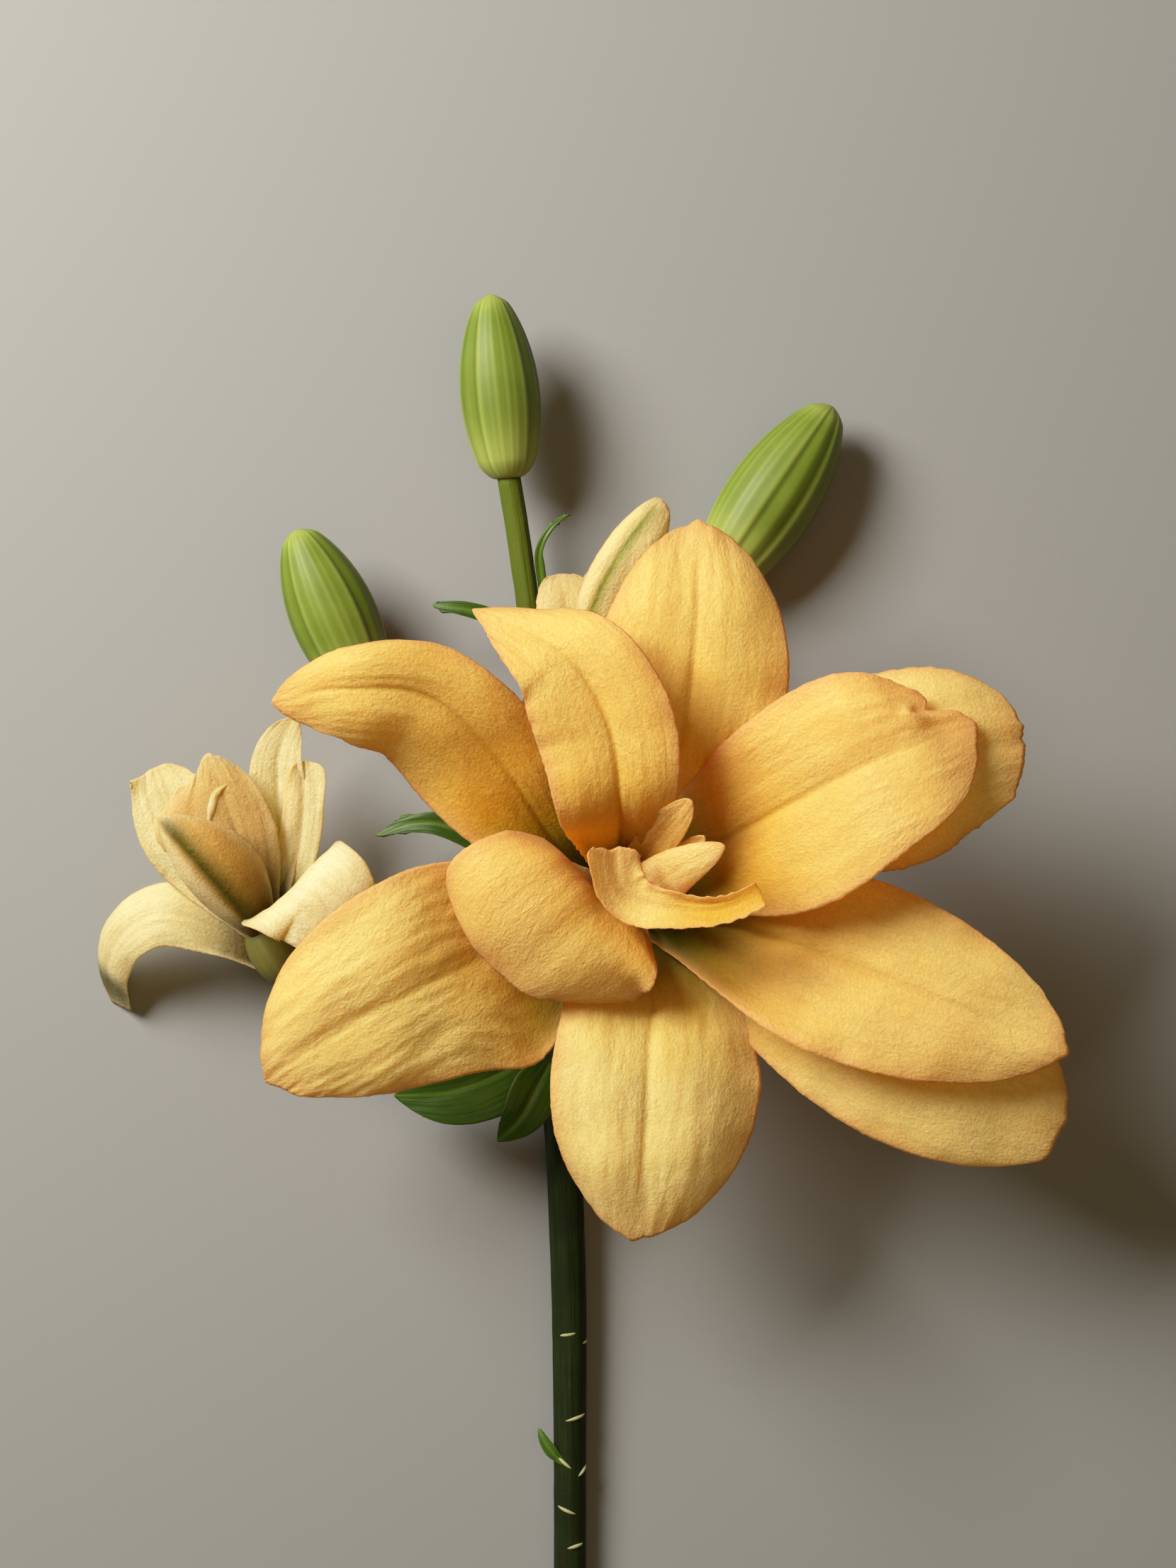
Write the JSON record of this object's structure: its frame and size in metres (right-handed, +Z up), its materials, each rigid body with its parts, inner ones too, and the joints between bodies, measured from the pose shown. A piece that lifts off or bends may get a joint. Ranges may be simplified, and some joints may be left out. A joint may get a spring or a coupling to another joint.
{
  "type": "cut double lily spray",
  "caption": "Cut double LA hybrid lily lying down: an open apricot bloom over a fading bloom, a half-hidden one, closed green buds, small leaves and a bare stem.",
  "frame": {"origin": "middle of the spray's outline as seen from above, at the height of the surface that it lies on", "axes": "+Y along the stem from its cut end to the tallest bud, +Z up, the way the open bloom faces, +X to the right as seen from above"},
  "size_m": [0.1949, 0.2881, 0.0728],
  "materials": {
    "main_bloom": "satin",
    "left_bloom": "satin",
    "back_bloom": "satin",
    "bud": "satin",
    "stem": "satin",
    "leaf": "satin"
  },
  "bodies": {
    "root": {"stem": "stem", "main_bloom": "main_bloom", "left_bloom": "left_bloom", "back_bloom": "back_bloom", "top_bud": "bud", "left_bud": "bud", "right_bud": "bud", "whorl_leaf_left": "leaf", "whorl_leaf_down": "leaf", "side_leaf": "leaf", "top_leaf": "leaf", "top_bract": "leaf"}
  },
  "joints": []
}
